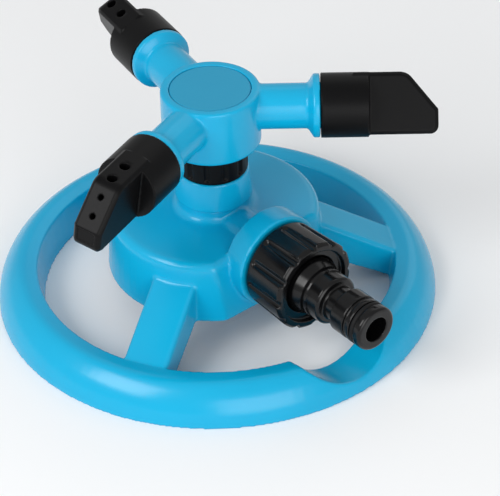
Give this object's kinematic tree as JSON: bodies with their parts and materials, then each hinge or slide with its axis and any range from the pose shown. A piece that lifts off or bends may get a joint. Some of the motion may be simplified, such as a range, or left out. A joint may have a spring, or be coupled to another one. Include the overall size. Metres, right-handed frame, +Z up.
{
  "type": "rotary lawn sprinkler",
  "caption": "Rotary lawn sprinkler: a ring base with spokes carries a drum with a side hose inlet and a turning hub with radial arms and bladed nozzles.",
  "frame": {"origin": "centre of the base ring, on the ground", "axes": "+Z up along the rotor's axis; one arm points 2 degrees from +X; the hose inlet leaves at 52 degrees from +X towards -Y"},
  "size_m": [0.16, 0.16, 0.0904],
  "materials": {
    "blue_plastic": "gloss injection-moulded ABS",
    "black_plastic": "satin injection-moulded polypropylene",
    "rubber": "moulded black rubber",
    "bearing_plastic": "natural acetal"
  },
  "bodies": {
    "base": {"base_frame": "blue_plastic", "bearing_collar": "blue_plastic", "retaining_nut": "black_plastic", "lower_thrust_washer": "bearing_plastic", "upper_thrust_washer": "bearing_plastic"},
    "rotor": {"rotor_hub": "blue_plastic", "hub_cap": "blue_plastic", "spindle": "bearing_plastic", "spindle_o_ring": "rubber", "arm_o_ring_1": "rubber", "arm_o_ring_2": "rubber", "arm_o_ring_3": "rubber"},
    "nozzle_1": {"nozzle_1": "black_plastic", "nozzle_plug_1": "black_plastic"},
    "nozzle_2": {"nozzle_2": "black_plastic", "nozzle_plug_2": "black_plastic"},
    "nozzle_3": {"nozzle_3": "black_plastic", "nozzle_plug_3": "black_plastic"},
    "nipple": {"inlet_nipple": "black_plastic", "inlet_washer": "rubber", "nipple_o_ring": "rubber"},
    "union_nut": {"inlet_nut": "black_plastic"}
  },
  "joints": [
    {"name": "rotor_spin", "type": "hinge", "parent": "base", "child": "rotor", "pos_m": [0, 0, 0.0785], "axis": [0, 0, 1], "continuous": true},
    {"name": "nozzle_1_turn", "type": "hinge", "parent": "rotor", "child": "nozzle_1", "pos_m": [0.04477, -0.00156, 0.0785], "axis": [0.9994, -0.0349, 0], "continuous": true},
    {"name": "nozzle_2_turn", "type": "hinge", "parent": "rotor", "child": "nozzle_2", "pos_m": [-0.02103, 0.03956, 0.0785], "axis": [-0.4695, 0.8829, 0], "continuous": true},
    {"name": "nozzle_3_turn", "type": "hinge", "parent": "rotor", "child": "nozzle_3", "pos_m": [-0.02374, -0.03799, 0.0785], "axis": [-0.5299, -0.848, 0], "continuous": true},
    {"name": "nipple_draw", "type": "slide", "parent": "base", "child": "nipple", "axis": [0.6157, -0.788, 0], "range_m": [0, 0.0092]},
    {"name": "union_nut_turn", "type": "hinge", "parent": "nipple", "child": "union_nut", "pos_m": [0.02771, -0.03546, 0.0313], "axis": [0.6157, -0.788, 0], "range_deg": [0, 1800]}
  ],
  "couplings": [
    {"joint": "nipple_draw", "follows": "union_nut_turn", "m_per_rad": 0.00028871}
  ]
}
